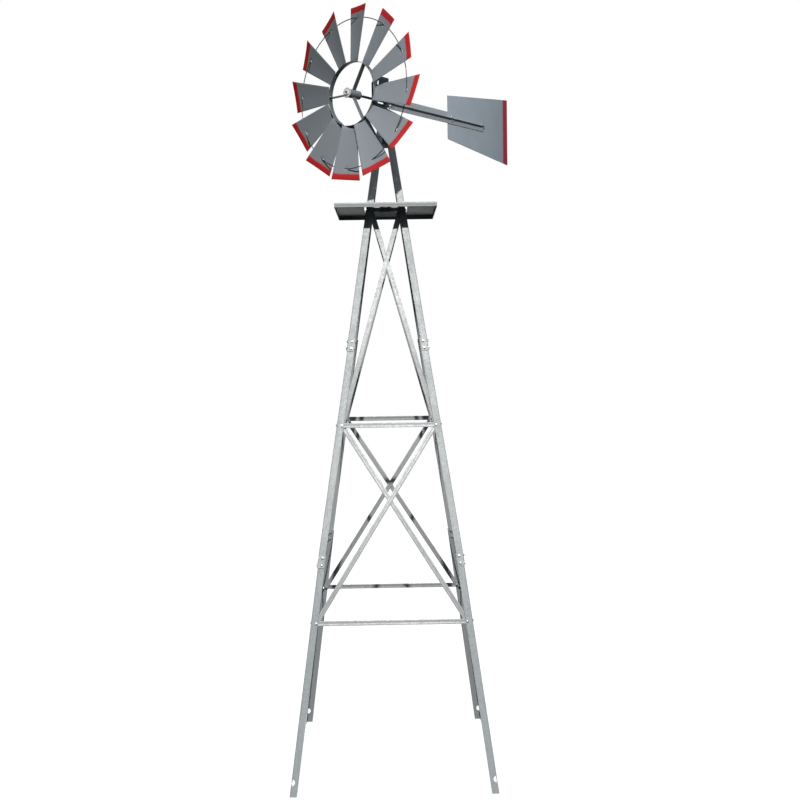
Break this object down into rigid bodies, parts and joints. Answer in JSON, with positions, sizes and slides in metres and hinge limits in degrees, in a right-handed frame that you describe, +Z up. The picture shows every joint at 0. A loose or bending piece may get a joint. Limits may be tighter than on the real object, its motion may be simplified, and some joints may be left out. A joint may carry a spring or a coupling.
{
  "type": "garden windmill",
  "caption": "Ornamental garden windmill: lattice tower of bolted angle legs and crossed braces, small platform, swivelling head with tail vane, and a bladed wheel that spins.",
  "frame": {"origin": "on the ground, on the tower's centre line, midway between the four feet", "axes": "+Z up along the tower's centre line; the tower's front face looks along -Y; +X to the right seen from the front"},
  "size_m": [0.7787, 0.817, 2.4374],
  "materials": {
    "leg_angle": "galvanised steel angle, light dull spangle",
    "flat_bar": "galvanised flat bar",
    "platform_sheet": "galvanised folded sheet",
    "head_paint": "dark slate paint, satin",
    "wheel_paint": "dark grey metal, satin",
    "boom_angle": "galvanised angle",
    "sheet_grey": "grey-blue sheet with a red painted edge band",
    "steel": "drawn steel wire and rod",
    "bright_steel": "zinc-plated fastener"
  },
  "bodies": {
    "tower": {"leg_rear_right_lower": "leg_angle", "leg_rear_left_lower": "leg_angle", "leg_front_left_lower": "leg_angle", "leg_front_right_lower": "leg_angle", "leg_rear_right_middle": "leg_angle", "leg_rear_left_middle": "leg_angle", "leg_front_left_middle": "leg_angle", "leg_front_right_middle": "leg_angle", "leg_rear_right_upper": "leg_angle", "leg_rear_left_upper": "leg_angle", "leg_front_left_upper": "leg_angle", "leg_front_right_upper": "leg_angle", "bar_front_lower": "flat_bar", "bar_front_upper": "flat_bar", "bar_right_lower": "flat_bar", "bar_right_upper": "flat_bar", "bar_rear_lower": "flat_bar", "bar_rear_upper": "flat_bar", "bar_left_lower": "flat_bar", "bar_left_upper": "flat_bar", "brace_front_lower_a": "flat_bar", "brace_front_lower_b": "flat_bar", "brace_front_upper_a": "flat_bar", "brace_front_upper_b": "flat_bar", "brace_right_lower_a": "flat_bar", "brace_right_lower_b": "flat_bar", "brace_right_upper_a": "flat_bar", "brace_right_upper_b": "flat_bar", "brace_rear_lower_a": "flat_bar", "brace_rear_lower_b": "flat_bar", "brace_rear_upper_a": "flat_bar", "brace_rear_upper_b": "flat_bar", "brace_left_lower_a": "flat_bar", "brace_left_lower_b": "flat_bar", "brace_left_upper_a": "flat_bar", "brace_left_upper_b": "flat_bar", "platform_bars": "flat_bar", "platform": "platform_sheet", "tower_cap": "head_paint"},
    "head": {"head_bracket": "head_paint", "head_hood": "head_paint", "boom_upper": "boom_angle", "boom_lower": "boom_angle", "tail_vane": "sheet_grey"},
    "wheel": {"wheel_frame": "wheel_paint", "wheel_shaft": "steel", "nose_nut": "bright_steel", "rim_wire": "steel", "blade_1": "sheet_grey", "blade_2": "sheet_grey", "blade_3": "sheet_grey", "blade_4": "sheet_grey", "blade_5": "sheet_grey", "blade_6": "sheet_grey", "blade_7": "sheet_grey", "blade_8": "sheet_grey", "blade_9": "sheet_grey", "blade_10": "sheet_grey", "blade_11": "sheet_grey", "blade_12": "sheet_grey"}
  },
  "joints": [
    {"name": "head_yaw", "type": "hinge", "parent": "tower", "child": "head", "pos_m": [0, 0, 2.1], "axis": [0, 0, 1], "continuous": true},
    {"name": "wheel_spin", "type": "hinge", "parent": "head", "child": "wheel", "pos_m": [0, 0, 2.166], "axis": [-0.6782, -0.7349, 0], "continuous": true}
  ]
}
